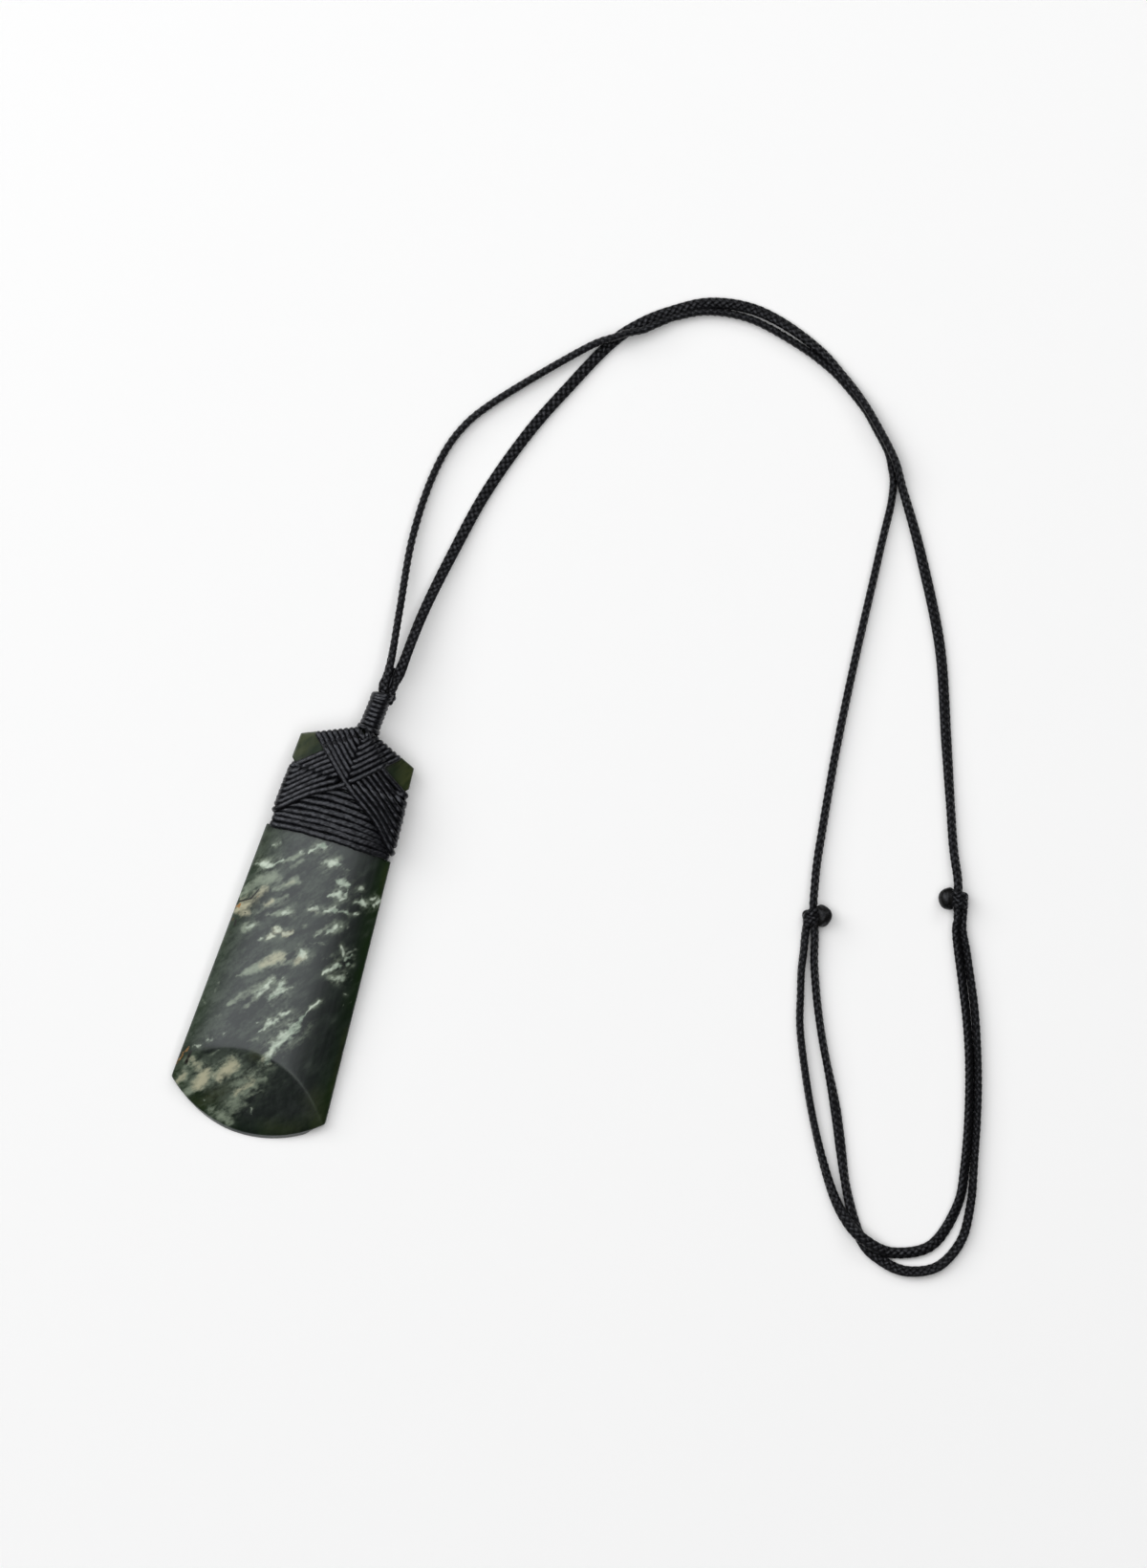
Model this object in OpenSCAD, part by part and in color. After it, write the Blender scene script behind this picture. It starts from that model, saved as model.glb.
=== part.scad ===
// Toki pendant: an adze shaped blade of dark green stone, lashed with thread and
// hung on two braided cords, each tied round the other so that the loop slides.
// Millimetres. It lies on its back with the face up (+Z) and the neck towards +Y.
// The origin is under the middle of the pendant, on the surface that it lies on.

/* [Pendant] */
// Length from the cutting edge to the top of the neck
pendant_l = 78; // [76:0.5:80]

/* [Blade] */
// Length of the stone along its middle
blade_l = 71; // [70:0.5:71]
// Width across the two corners of the cutting edge
edge_w = 27; // [26:0.5:28]
// Width across the two shoulders
shoulder_w = 19.8; // [19.4:0.2:20.2]
// Thickness at the crown
blade_t = 6; // [5.6:0.2:6.6]
// Radius of the domed face, across the blade
crown_r = 26; // [24:1:30]
// How far the crown lies to the side of the middle
crown_x = -1; // [-1.5:0.5:0]
// Radius of the cutting edge, seen from the front
edge_r = 19.5; // [19:0.5:21]
// How high the peak stands over the shoulders
gable_h = 4.4; // [4:0.2:4.8]

/* [Bevel] */
// Thickness that is left at the cutting edge
land_t = 0.8; // [0.6:0.1:1.2]
// Radius of the bevel's foot, which is part of a cone
bevel_r = 40; // [38:1:44]
// Rise of the bevel for each millimetre inwards
bevel_slope = 0.385; // [0.35:0.01:0.42]

/* [Lashing] */
// Diameter of the binding thread
thread_d = 0.85; // [0.7:0.05:0.85]
// Clearance between a thread and what it lies on
thread_gap = 0.1; // [0.05:0.05:0.15]
// Number of level wraps
belt_n = 8; // [6:1:8]
// Number of slanting wraps each way
cross_n = 8; // [6:1:8]

/* [Neck] */
// Diameter of the whipping
stem_d = 3.3; // [3:0.1:3.6]
// Diameter of the collar on top of it
collar_d = 3.9; // [3.8:0.1:4.2]
// Length of the collar
collar_l = 1.8; // [1.6:0.1:2]
// Lean of the neck to the side, in degrees
neck_lean = 3; // [2:0.5:4]

/* [Cords] */
// Diameter of each cord, taken as round
cord_d = 1.5; // [1.3:0.1:1.5]
// Diameter of a knot's body
knot_d = 3.2; // [3:0.1:3.2]
// Length of a knot's body, along the cord that slides in it
knot_l = 2.9; // [2.6:0.1:3]
// Diameter of the melted end beside a knot
blob_d = 2.2; // [2:0.1:2.3]
// Length of the melted end
blob_l = 3.7; // [3.4:0.1:3.9]

/* [Hidden] */

// The blade's outline, from the cutting edge up
tip_y = -pendant_l / 2;
peak_y = tip_y + blade_l;
shoulder_y = peak_y - gable_h;
gable_slope = gable_h / (shoulder_w / 2);
edge_sag = edge_r - sqrt(edge_r * edge_r - edge_w * edge_w / 4);
corner_y = tip_y + edge_sag;
flare = (edge_w - shoulder_w) / 2 / (shoulder_y - corner_y);

// The seat that is cut for the lashing
seat_lo = 11.5;      // where it starts, on the sides and on the back
seat_hi = 24;        // where the side notches end
notch_d = 1.3;       // depth of the side notches
gable_cut = 0.65;    // depth of the seat on the gable
gable_cut_x = 8.6;   // half width of that seat
seat_z = 2;          // depth of the seat in the back

// The lashing
thread_r = thread_d / 2;
base_off = thread_gap + thread_r;   // from the stone to the middle of a thread on it
lift = thread_d + thread_gap;   // height of one layer of thread
belt_y = 12.2;       // middle of the lowest level wrap
belt_pitch = 1.03;   // spacing of the level wraps
gable_x = 0.55;      // first slanting wrap, from the middle of the gable
gable_pitch = 1;     // spacing of the slanting wraps along the gable
side_y = 23;         // first slanting wrap, on the side notch
side_pitch = 1.314;  // spacing of the slanting wraps down the notch
ramp_hi = 21.3;      // where the lower set starts to climb over the belt
ramp_lo = 20.1;      // and where it lies on it
side_ramp_hi = 22.3; // the same for both sets, round the sides
side_ramp_lo = 20.7;

// The neck
neck_foot = [0.75, 32.1, 4];
stem_l = (pendant_l / 2 - neck_foot.y - collar_d / 2 * sin(neck_lean)) / cos(neck_lean) - collar_l;
stem_turns = 7;
turn_depth = 0.3;    // how deep the grooves between the turns are

// The knots: where the sliding cord passes, and the way that it runs there
left_knot_at = [80.9, 23.8];
left_knot_turn = -69;
right_knot_at = [103.3, 33.9];
right_knot_turn = -74;
slide_gap = 0.15;
blob_offset = 2.4;   // from the sliding cord to the middle of the melted end

// The routes of the two cords, from the neck on
LEFT_ROUTE = [
    [0.6, 39.15, 4], [0.8, 43, 3.9], [-0.3, 52, 2.8], [-1.8, 64, 1.4], [-1.7, 75, 0.8],
    [0.2, 83.4, 0.8], [4.7, 90.6, 0.8], [15.8, 103, 1.4], [20.2, 106.6, 2.4],
    [24.4, 109.5, 1.8], [28.6, 112.1, 0.9], [33.8, 115.1, 0.8], [40.2, 116.3, 0.8],
    [47, 115.4, 0.8], [53.9, 113.3, 0.8], [60.2, 109.7, 0.8], [65.4, 105.6, 0.8],
    [70.2, 100.6, 0.8], [72.5, 95.5, 0.8], [73.4, 85, 0.8], [75.4, 60, 0.8],
    [78, 37, 0.8], [79.7, 28, 1.4], [80.9, 23.8, 1.6], [82.1, 20.4, 1.4],
    [83.7, 15.4, 0.85], [88, 5.6, 0.8], [94, -5.7, 0.8], [99.5, -17.2, 0.8],
    [104.4, -24.8, 0.8], [108.6, -27.3, 0.8], [113.4, -27.9, 0.8],
    [118.2, -25.6, 0.8], [120.6, -20.5, 0.8], [120.4, -14.2, 0.8],
    [119.1, -7.9, 0.8], [116, 4.5, 0.8], [111.8, 16.7, 0.8], [106.5, 28.4, 0.8],
    [105.2, 32.7, 0.8]
];
RIGHT_ROUTE = [
    [2.6, 39.15, 4], [3, 43, 3.9], [3.6, 53, 2.8], [5.3, 64, 1.5], [7.6, 75.5, 0.8],
    [11.5, 87.5, 0.8], [15.8, 97.2, 0.8], [19.6, 105.2, 0.8], [23, 109.8, 0.8],
    [27.5, 113.4, 0.8], [33.3, 116.8, 0.8], [39.9, 118.1, 0.8], [46.8, 117.4, 0.8],
    [54.7, 114.8, 0.8], [61, 111.1, 0.95], [66.2, 106.6, 1.75], [71.2, 101.4, 1.75],
    [74.2, 96.6, 0.95], [79.5, 88, 0.85], [87.5, 73.5, 0.8], [93.6, 58, 0.8],
    [99.2, 43.8, 0.9], [102.2, 37.4, 1.4], [103.3, 33.9, 1.6], [104.2, 30.7, 1.4],
    [104.9, 27.8, 0.95], [110.2, 16.1, 0.8], [114.4, 4.1, 0.8], [117.5, -8.3, 0.8],
    [118.3, -15.2, 0.8], [116.2, -22.5, 0.8], [110.6, -25.6, 0.9], [105.4, -25.2, 2.4],
    [100.9, -22.6, 1.7], [96.2, -16.8, 0.9], [90.3, -6.9, 0.8], [84.9, 4.4, 0.8],
    [82.8, 10.9, 0.8], [81.1, 17, 0.8], [80.1, 21.7, 0.8]
];
route_steps = 2;     // rings of the tube for each stretch of the route
cord_sides = 8;
thread_sides = 6;
belt_steps = 8;      // rings of a thread across the domed face
cross_steps = 14;

// Half the blade's width at a height, before the notches are cut
function half_w(y) = shoulder_w / 2 + (shoulder_y - y) * flare;

// Height of the domed face over the back
function crown_z(x) = blade_t - crown_r + sqrt(crown_r * crown_r - (x - crown_x) * (x - crown_x));

// Height of the gable's edge in the seat
function gable_y(x) = peak_y - gable_cut - abs(x) * gable_slope;

// A smooth step from 0 to 1 as t goes from 0 to 1
function smooth(t) = let (c = min(1, max(0, t))) c * c * (3 - 2 * c);

function unit(v) = v / norm(v);

// Points of a quarter of an ellipse about [u, z]
function corner(u, z, across, up, from) =
    [for (a = [from, from + 45, from + 90]) [u + across * cos(a), z + up * sin(a)]];

// One wrap of thread, as a flat closed loop in an upright plane. It crosses the
// face from wall point a to wall point b, goes round the side and back behind.
// na and nb are the walls' outward directions, oa and ob the thread's distances
// from them, layers is the number of layers below it at equal steps on the way,
// and steps is the number of rings across the face.
function wrap_loop(a, b, na, nb, oa, ob, layers, steps) =
    let (
        dir = unit(b - a),
        wa = oa / abs(dir * na),
        wb = ob / abs(dir * nb),
        start = a - dir * wa,
        wide = norm(b - a) + wa + wb,
        last = len(layers) - 1,
        up_a = base_off + lift * layers[0],
        up_b = base_off + lift * layers[last],
        inner = wide - wa - wb,
        mids = [for (i = [1 : steps - 1]) i / steps],
        lay = function (f) base_off + lift * lookup(f, [for (i = [0 : last]) [i / last, layers[i]]]),
        flat = concat(
            corner(wide - wb, crown_z(b.x), wb, up_b, 0),
            [for (f = mids) let (g = 1 - f, p = a + (b - a) * g)
                [wa + inner * g, crown_z(p.x) + lay(g)]],
            corner(wa, crown_z(a.x), wa, up_a, 90),
            corner(wa, seat_z, wa, up_a, 180),
            [for (f = mids) [wa + inner * f, seat_z - lay(f)]],
            corner(wide - wb, seat_z, wb, up_b, 270)
        )
    )
    [for (p = flat) [start.x + dir.x * p[0], start.y + dir.y * p[0], p[1]]];

// Rings round a closed loop that lies in an upright plane with the normal across
function loop_rings(path, across) =
    let (n = len(path))
    [for (i = [0 : n - 1])
        let (
            along = unit(path[(i + 1) % n] - path[(i + n - 1) % n]),
            out = unit(cross(along, across))
        )
        [for (k = [0 : thread_sides - 1])
            let (a = 360 * k / thread_sides)
            path[i] + thread_r * (cos(a) * out + sin(a) * across)]];

// Side faces between each ring and the next; the last joins the first if closed
function ring_faces(rings, sides, closed) =
    [for (i = [0 : rings - (closed ? 1 : 2)], k = [0 : sides - 1])
        let (j = (i + 1) % rings, m = (k + 1) % sides)
        [i * sides + k, i * sides + m, j * sides + m, j * sides + k]];

function flatten(lists) = [for (l = lists, p = l) p];

module thread_loop(a, b, na, nb, oa, ob, layers, steps) {
    path = wrap_loop(a, b, na, nb, oa, ob, layers, steps);
    dir = unit(b - a);
    rings = loop_rings(path, [-dir.y, dir.x, 0]);
    polyhedron(flatten(rings), ring_faces(len(rings), thread_sides, true), convexity = 6);
}

// A smooth curve through the route's points
function bend(p0, p1, p2, p3, t) =
    0.5 * (2 * p1 + (p2 - p0) * t + (2 * p0 - 5 * p1 + 4 * p2 - p3) * t * t
        + (3 * p1 - p0 - 3 * p2 + p3) * t * t * t);
function curve(route) =
    let (n = len(route))
    concat(
        [for (i = [0 : n - 2], s = [0 : route_steps - 1])
            bend(route[max(0, i - 1)], route[i], route[i + 1], route[min(n - 1, i + 2)], s / route_steps)],
        [route[n - 1]]
    );

// A cord as a plain round tube along its route
module cord_tube(route) {
    path = curve(route);
    n = len(path);
    rings = [for (i = [0 : n - 1])
        let (
            along = unit(path[min(n - 1, i + 1)] - path[max(0, i - 1)]),
            side = unit(cross(along, [0, 0, 1])),
            up = cross(side, along)
        )
        [for (k = [0 : cord_sides - 1])
            let (a = 360 * k / cord_sides)
            path[i] + cord_d / 2 * (cos(a) * side + sin(a) * up)]];
    faces = concat(
        [[for (k = [0 : cord_sides - 1]) cord_sides - 1 - k]],
        ring_faces(n, cord_sides, false),
        [[for (k = [0 : cord_sides - 1]) (n - 1) * cord_sides + k]]
    );
    polyhedron(flatten(rings), faces, convexity = 10);
}

// Right hand edge of the blade's outline, from below the tip up to the peak
function right_edge() = [
    [half_w(tip_y - 2), tip_y - 2],
    [half_w(seat_lo), seat_lo],
    [half_w(seat_lo) - notch_d, seat_lo],
    [half_w(seat_hi) - notch_d, seat_hi],
    [half_w(seat_hi), seat_hi],
    [shoulder_w / 2, shoulder_y],
    [gable_cut_x, peak_y - gable_cut_x * gable_slope],
    [gable_cut_x, gable_y(gable_cut_x)]
];

module blade_outline() {
    right = right_edge();
    last = len(right) - 1;
    intersection() {
        polygon(concat(
            right,
            [[0, gable_y(0)]],
            [for (i = [last : -1 : 0]) [-right[i].x, right[i].y]]
        ));
        union() {
            translate([0, tip_y + edge_r]) circle(r = edge_r, $fn = 128);
            translate([-edge_w, corner_y + 2]) square([2 * edge_w, blade_l]);
        }
    }
}

// Everything under the bevel's cone, and all of the blade above it
module under_bevel() {
    top_z = blade_t + 1;
    base_r = bevel_r + land_t / bevel_slope;
    union() {
        translate([0, tip_y + bevel_r, 0])
            cylinder(h = top_z, r1 = base_r, r2 = base_r - top_z / bevel_slope, $fn = 128);
        translate([-edge_w, -5, -1]) cube([2 * edge_w, blade_l, top_z + 1]);
    }
}

module toki_blade() {
    color("#26312a")
        difference() {
            intersection() {
                linear_extrude(height = blade_t + 1) blade_outline();
                translate([crown_x, peak_y + 5, blade_t - crown_r])
                    rotate([90, 0, 0]) cylinder(h = blade_l + 10, r = crown_r, $fn = 128);
                under_bevel();
            }
            translate([-edge_w, seat_lo, -1]) cube([2 * edge_w, blade_l, seat_z + 1]);
        }
}

// The level wraps round the notches
module belt_wraps() {
    color("#1c1c20")
        for (i = [0 : belt_n - 1]) {
            y = belt_y + belt_pitch * i;
            wall = half_w(y) - notch_d;
            thread_loop([-wall, y], [wall, y], [-1, 0], [1, 0], base_off, base_off, [0, 0], belt_steps);
        }
}

// The slanting wraps that cross the face from the gable on side s (-1 is the left)
// down to the other side's notch. Those from the left lie on those from the right.
module cross_wraps(s) {
    for (i = [0 : cross_n - 1]) {
        gx = gable_x + gable_pitch * i;
        sy = side_y - side_pitch * i;
        wall = half_w(sy) - notch_d;
        top = [s * gx, gable_y(gx)];
        foot = [-s * wall, sy];
        heights = [for (k = [0 : 16]) top.y + (foot.y - top.y) * k / 16];
        over_belt = [for (y = heights) smooth((ramp_hi - y) / (ramp_hi - ramp_lo))];
        side_layers = smooth((side_ramp_hi - sy) / (side_ramp_hi - side_ramp_lo));
        thread_loop(top, foot, unit([s * gable_slope, 1]), [-s, 0],
            base_off, base_off + lift * side_layers, s < 0 ? [1, 1] : over_belt, cross_steps);
    }
}

module cross_wraps_left() {
    color("#222226") cross_wraps(-1);
}

module cross_wraps_right() {
    color("#1e1e22") cross_wraps(1);
}

// The whipping that binds the two cords together, with a collar on top
module neck_whipping() {
    pitch = stem_l / stem_turns;
    turn_r = pitch / 2;
    collar_turn = collar_l / 2;
    color("#1a1a1e")
        translate(neck_foot)
            rotate([0, 0, -neck_lean]) rotate([-90, 0, 0])
                rotate_extrude($fn = 64) {
                    square([stem_d / 2 - turn_depth, stem_l + 0.01]);
                    for (i = [0 : stem_turns - 1])
                        translate([stem_d / 2 - turn_r, (i + 0.5) * pitch])
                            circle(r = turn_r, $fn = 32);
                    translate([0, stem_l]) square([collar_d / 2 - collar_turn / 2, collar_l]);
                    for (i = [0, 1])
                        translate([collar_d / 2 - collar_turn / 2, stem_l + (i + 0.5) * collar_turn])
                            circle(r = collar_turn / 2, $fn = 32);
                }
}

module left_cord() {
    color("#202024") cord_tube(LEFT_ROUTE);
}

module right_cord() {
    color("#202024") cord_tube(RIGHT_ROUTE);
}

// A knot round a sliding cord, with the tied cord's melted end beside it.
// turn is the way that the sliding cord runs, and side is where the end stands.
module slide_knot(at, turn, side) {
    hole_r = cord_d / 2 + slide_gap;
    wrap_r = knot_l / 4;
    translate([at.x, at.y, knot_d / 2]) rotate([0, 0, turn]) {
        rotate([0, 90, 0]) rotate_extrude($fn = 64) {
            translate([hole_r, -knot_l / 2 + wrap_r]) square([knot_d / 2 - hole_r - 0.15, knot_l - 2 * wrap_r]);
            for (i = [-1, 1])
                intersection() {
                    translate([knot_d / 2 - wrap_r, i * wrap_r]) circle(r = wrap_r, $fn = 32);
                    translate([hole_r, -knot_l]) square([knot_d, 2 * knot_l]);
                }
        }
        translate([0, side * blob_offset, 0]) {
            rotate([0, 90, 0]) cylinder(h = blob_l - blob_d, d = blob_d, center = true, $fn = 48);
            for (i = [-1, 1])
                translate([i * (blob_l - blob_d) / 2, 0, 0]) sphere(d = blob_d, $fn = 48);
        }
    }
}

module left_knot() {
    color("#1c1c20") slide_knot(left_knot_at, left_knot_turn, 1);
}

module right_knot() {
    color("#1c1c20") slide_knot(right_knot_at, right_knot_turn, -1);
}

toki_blade();
belt_wraps();
cross_wraps_left();
cross_wraps_right();
neck_whipping();
left_cord();
right_cord();
left_knot();
right_knot();
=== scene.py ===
"""A toki pendant of dark green stone with its thread lashing, whipped neck and two braided cords.
Metres in Blender, millimetres in the lists below. It lies on its back: +Y towards the neck, +Z up."""

import math

import bpy
import numpy as np
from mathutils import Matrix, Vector
from numpy.linalg import norm


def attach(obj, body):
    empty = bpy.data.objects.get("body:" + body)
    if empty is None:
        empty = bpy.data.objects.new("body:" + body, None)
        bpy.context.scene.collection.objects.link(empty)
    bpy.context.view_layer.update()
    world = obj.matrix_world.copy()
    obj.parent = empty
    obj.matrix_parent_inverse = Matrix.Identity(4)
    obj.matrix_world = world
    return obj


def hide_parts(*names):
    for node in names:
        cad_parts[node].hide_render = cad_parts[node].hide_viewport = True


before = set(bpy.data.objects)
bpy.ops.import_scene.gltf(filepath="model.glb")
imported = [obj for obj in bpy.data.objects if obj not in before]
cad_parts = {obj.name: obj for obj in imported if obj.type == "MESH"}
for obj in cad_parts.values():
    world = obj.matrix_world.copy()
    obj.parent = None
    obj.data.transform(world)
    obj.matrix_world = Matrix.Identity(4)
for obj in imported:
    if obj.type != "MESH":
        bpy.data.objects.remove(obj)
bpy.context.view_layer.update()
MM = 0.001
APART = 9.0  # sets the fibre pattern of each strand off from the next one's


# Tools for all the pieces


def pick(*pieces):
    bpy.ops.object.select_all(action="DESELECT")
    for piece in pieces:
        piece.select_set(True)
    bpy.context.view_layer.objects.active = pieces[0]


def unit(v):
    v = np.asarray(v, float)
    return v / norm(v)


def unit_rows(v):
    return v / norm(v, axis=1)[:, None]


def smooth(t):
    t = np.clip(t, 0.0, 1.0)
    return t * t * (3 - 2 * t)


def curve_through(points, steps):
    """The part's own smooth curve through a route's points."""
    p = np.array(points, float)
    n = len(p)
    out = []
    for i in range(n - 1):
        a, b, c, d = p[max(0, i - 1)], p[i], p[i + 1], p[min(n - 1, i + 2)]
        for t in [s / steps for s in range(steps)]:
            bend = 2 * b + (c - a) * t + (2 * a - 5 * b + 4 * c - d) * t * t
            out.append(0.5 * (bend + (3 * b - a - 3 * c + d) * t * t * t))
    out.append(p[-1])
    return np.array(out)


def distances(points):
    return np.concatenate([[0], np.cumsum(norm(np.diff(points, axis=0), axis=1))])


def evenly(points, step):
    """The same line with its points about a step apart."""
    far = distances(points)
    at = np.linspace(0, far[-1], max(2, int(round(far[-1] / step)) + 1))
    return np.column_stack([np.interp(at, far, points[:, k]) for k in range(3)])


def tangents(points):
    return unit_rows(np.gradient(points, axis=0))


def ring_faces(base, n, sides, closed=False):
    """Faces of a tube whose points are listed side by side: n along each of its sides."""
    faces = []
    for k in range(sides):
        a, b = base + k * n, base + (k + 1) % sides * n
        faces.extend([(a + i, b + i, b + i + 1, a + i + 1) for i in range(n - 1)])
        if closed:
            faces.append((a + n - 1, b + n - 1, b, a))
    if not closed:
        faces.append([base + k * n for k in range(sides)])
        faces.append([base + k * n + n - 1 for k in range(sides)])
    return faces


def mark_points(mesh, name, values):
    """Writes a value, or a vector, for each point of a mesh. Its material reads them by this name."""
    values = np.asarray(values, np.float32)
    kind, field = ("FLOAT", "value") if values.ndim == 1 else ("FLOAT_VECTOR", "vector")
    mesh.attributes.new(name, kind, "POINT").data.foreach_set(field, values.ravel())


def put_in(name, data):
    made = bpy.data.objects.new(name, data)
    bpy.context.scene.collection.objects.link(made)
    return made


def mesh_piece(name, verts, faces):
    mesh = bpy.data.meshes.new(name)
    mesh.from_pydata([tuple(v) for v in np.asarray(verts) * MM], [], faces)
    piece = put_in(name, mesh)
    pick(piece)
    bpy.ops.object.mode_set(mode="EDIT")
    bpy.ops.mesh.select_all(action="SELECT")
    bpy.ops.mesh.normals_make_consistent(inside=False)
    bpy.ops.object.mode_set(mode="OBJECT")
    bpy.ops.object.shade_smooth()
    return piece


def fibre_piece(name, verts, faces, painted_top_light, lie):
    """A piece that says how much painted top light each of its points gets, and where it lies along and round its
    thread.
    """
    piece = mesh_piece(name, verts, faces)
    mark_points(piece.data, "painted_top_light", painted_top_light)
    mark_points(piece.data, "lie", lie)
    return piece


# The camera looks straight down, turned so that the pendant leans to the left in the picture

CAMERA_PLACE = (0.0361, 0.0331, 2.5)
LEAN = 17.4  # degrees
LEAN_COS, LEAN_SIN = 0.954, 0.299  # rounded, because the lists below were read with these
SENSOR = 36
SEEN_LENGTH = 0.2624  # how much of the floor's length the picture takes in
PICTURE_MIDDLE = (36.1, 33.1)  # right under the camera, in millimetres
ORIGIN_ACROSS, ORIGIN_DOWN = 592, 810  # the part's origin, in pixels of the picture turned upright
PIXEL = 0.16  # millimetres of the floor in one pixel


def add_camera():
    bpy.ops.object.camera_add(location=CAMERA_PLACE, rotation=(0, 0, math.radians(LEAN)))
    camera = bpy.context.object
    camera.name = "camera"
    camera.data.sensor_width = SENSOR
    camera.data.lens = SENSOR * CAMERA_PLACE[2] / SEEN_LENGTH
    bpy.context.scene.camera = camera


# The two cords

LEFT_ROUTE = [
    (0.6, 39.15, 4), (0.8, 43, 3.9), (-0.3, 52, 2.8), (-1.8, 64, 1.4), (-1.7, 75, 0.8), (0.2, 83.4, 0.8),
    (4.7, 90.6, 0.8), (15.8, 103, 1.4), (20.2, 106.6, 2.4), (24.4, 109.5, 1.8), (28.6, 112.1, 0.9),
    (33.8, 115.1, 0.8), (40.2, 116.3, 0.8), (47, 115.4, 0.8), (53.9, 113.3, 0.8), (60.2, 109.7, 0.8),
    (65.4, 105.6, 0.8), (70.2, 100.6, 0.8), (72.5, 95.5, 0.8), (73.4, 85, 0.8), (75.4, 60, 0.8), (78, 37, 0.8),
    (79.7, 28, 1.4), (80.9, 23.8, 1.6), (82.1, 20.4, 1.4), (83.7, 15.4, 0.85), (88, 5.6, 0.8), (94, -5.7, 0.8),
    (99.5, -17.2, 0.8), (104.4, -24.8, 0.8), (108.6, -27.3, 0.8), (113.4, -27.9, 0.8), (118.2, -25.6, 0.8),
    (120.6, -20.5, 0.8), (120.4, -14.2, 0.8), (119.1, -7.9, 0.8), (116, 4.5, 0.8), (111.8, 16.7, 0.8),
    (106.5, 28.4, 0.8), (105.2, 32.7, 0.8),
]
RIGHT_ROUTE = [
    (2.6, 39.15, 4), (3, 43, 3.9), (3.6, 53, 2.8), (5.3, 64, 1.5), (7.6, 75.5, 0.8), (11.5, 87.5, 0.8),
    (15.8, 97.2, 0.8), (19.6, 105.2, 0.8), (23, 109.8, 0.8), (27.5, 113.4, 0.8), (33.3, 116.8, 0.8),
    (39.9, 118.1, 0.8), (46.8, 117.4, 0.8), (54.7, 114.8, 0.8), (61, 111.1, 0.95), (66.2, 106.6, 1.75),
    (71.2, 101.4, 1.75), (74.2, 96.6, 0.95), (79.5, 88, 0.85), (87.5, 73.5, 0.8), (93.6, 58, 0.8),
    (99.2, 43.8, 0.9), (102.2, 37.4, 1.4), (103.3, 33.9, 1.6), (104.2, 30.7, 1.4), (104.9, 27.8, 0.95),
    (110.2, 16.1, 0.8), (114.4, 4.1, 0.8), (117.5, -8.3, 0.8), (118.3, -15.2, 0.8), (116.2, -22.5, 0.8),
    (110.6, -25.6, 0.9), (105.4, -25.2, 2.4), (100.9, -22.6, 1.7), (96.2, -16.8, 0.9), (90.3, -6.9, 0.8),
    (84.9, 4.4, 0.8), (82.8, 10.9, 0.8), (81.1, 17, 0.8), (80.1, 21.7, 0.8),
]
# How far each cord's flat side is turned up on edge, in degrees, at distances from the neck
LEFT_TURN = [
    (-2, 20), (0, 30), (2, 60), (8, 85), (30, 90), (60, 80), (100, 88), (150, 75), (200, 65), (222, 70),
    (236, 75), (244, 35), (250, 35), (256, 60), (270, 20), (285, 45), (300, 75), (340, 70),
]
RIGHT_TURN = [
    (0, 90), (1.2, 80), (2.6, 5), (6, 40), (14, 35), (30, 15), (60, 5), (92, 10), (104, 45), (118, 75), (128, 85),
    (140, 50), (150, 30), (178, 30), (190, 55), (230, 60), (256, 45), (264, 15), (278, 10), (286, 45), (298, 80),
    (322, 85), (340, 60),
]
# How much higher the right cord lies than its route says, where it crosses over the left one
RIGHT_LIFT = [(109, 0), (119, 0.5), (133, 0.5), (142, 0)]
# Where each lies beside its route: distance, then how far to the picture's right and down, in mm
LEFT_ASIDE = [
    (-2, 0.1, 0), (-1, 0.4, 0), (1, 0.35, 0), (3, 0.1, 0), (12, 0, 0), (26, -0.1, 0), (45, -0.1, 0), (60, 0, 0.1),
    (78, 0, 0.2), (81, 0, 0.5), (86, 0, -0.35), (92, 0, -0.05), (97, 0, 0.15), (108, -0.1, 0.25), (113, 0.2, 0.3),
    (116, 0.5, 0.3), (120, 0.6, 0.3), (124, 0.75, 0.3), (128, 0.55, 0.3), (132, 0.5, 0.2), (135, 0.1, 0.1),
    (139, 0, 0), (185, 0.1, 0), (198, 0.3, 0), (208, 0.2, 0), (211.5, 0.15, 0), (213, 0.3, 0), (216, 0.25, 0),
    (225, 0.15, 0), (240, 0.2, 0), (252, 0.15, 0), (258, 0, -0.2), (263, 0, -0.2), (269, 0, 0.1), (281, 0.1, 0.2),
    (288, 0.2, 0.1), (296, 0.1, 0), (312, 0, 0), (325, -0.15, 0), (336, -0.3, 0), (339, -0.6, 0), (346, -0.6, 0),
]
RIGHT_ASIDE = [
    (-2, 0, 0), (0, 0, 0), (2.5, -0.15, 0), (8, -0.1, 0), (14, 0, 0), (45, 0.05, 0), (62, 0.12, 0.08),
    (69, 0.1, 0.35), (75, 0.1, 0.5), (80, 0, 0.35), (95, 0, 0.25), (109, -0.35, 0.4), (114, -0.7, 0.35),
    (118, -0.55, 0.35), (122, -0.35, 0.35), (126, -0.3, 0.35), (136, -0.2, 0.15), (147, 0.05, 0), (165, 0.15, 0),
    (180, 0.1, 0), (192, 0.05, 0), (200, -0.12, 0), (206, -0.05, 0), (210, 0.05, 0), (222, 0, 0), (232, 0.2, 0),
    (246, 0.25, 0), (256, 0.15, 0.1), (264, 0.1, 0.15), (272, 0, 0.15), (277, 0, -0.1), (282, 0, -0.3),
    (287, 0, -0.1), (292, 0, 0), (314, 0, 0), (325, 0.1, 0), (328.5, 0.35, 0), (336, 0.4, 0),
]
CORD_WIDE, CORD_THICK = 2.0, 1.35
CORD_STEP = 0.18
ON_FLOOR = 0.8  # the height of the routes where they lie on the floor
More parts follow.
